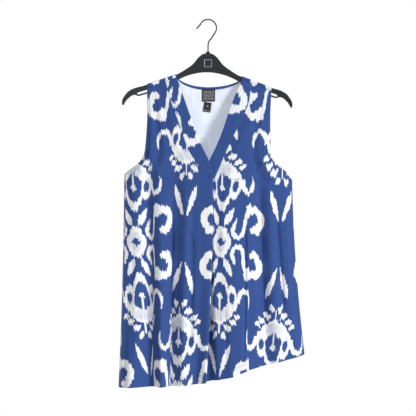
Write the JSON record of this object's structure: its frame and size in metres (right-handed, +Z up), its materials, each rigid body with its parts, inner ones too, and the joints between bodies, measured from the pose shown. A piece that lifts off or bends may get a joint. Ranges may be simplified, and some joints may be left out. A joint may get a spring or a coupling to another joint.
{
  "type": "sleeveless tunic top on a hanger",
  "caption": "Sleeveless cloth tunic with a banded V neck, a centre pleat, soft flutes and a slanted hem, hanging on a moulded hanger with a wire hook.",
  "frame": {"origin": "inside top of the hanger's hook, where it rests on a rail", "axes": "+Z up, the front of the garment faces -Y, +X to the viewer's right; the hem is longer at -X"},
  "size_m": [0.4655, 0.0952, 0.9199],
  "materials": {
    "printed_jersey": "soft matt jersey, royal blue with a white ikat print on its face and pale on its back",
    "band_jersey": "doubled jersey, royal blue with a white scroll",
    "woven_label": "black damask weave without lettering",
    "hanger_plastic": "black, satin",
    "hook_wire": "dark, satin"
  },
  "bodies": {
    "root": {"front": "printed_jersey", "back": "printed_jersey", "neckband_left": "band_jersey", "neckband_right": "band_jersey", "neckband_back": "band_jersey", "neck_label": "woven_label", "size_tab": "woven_label", "hanger_body": "hanger_plastic", "hanger_hook": "hook_wire"}
  },
  "joints": []
}
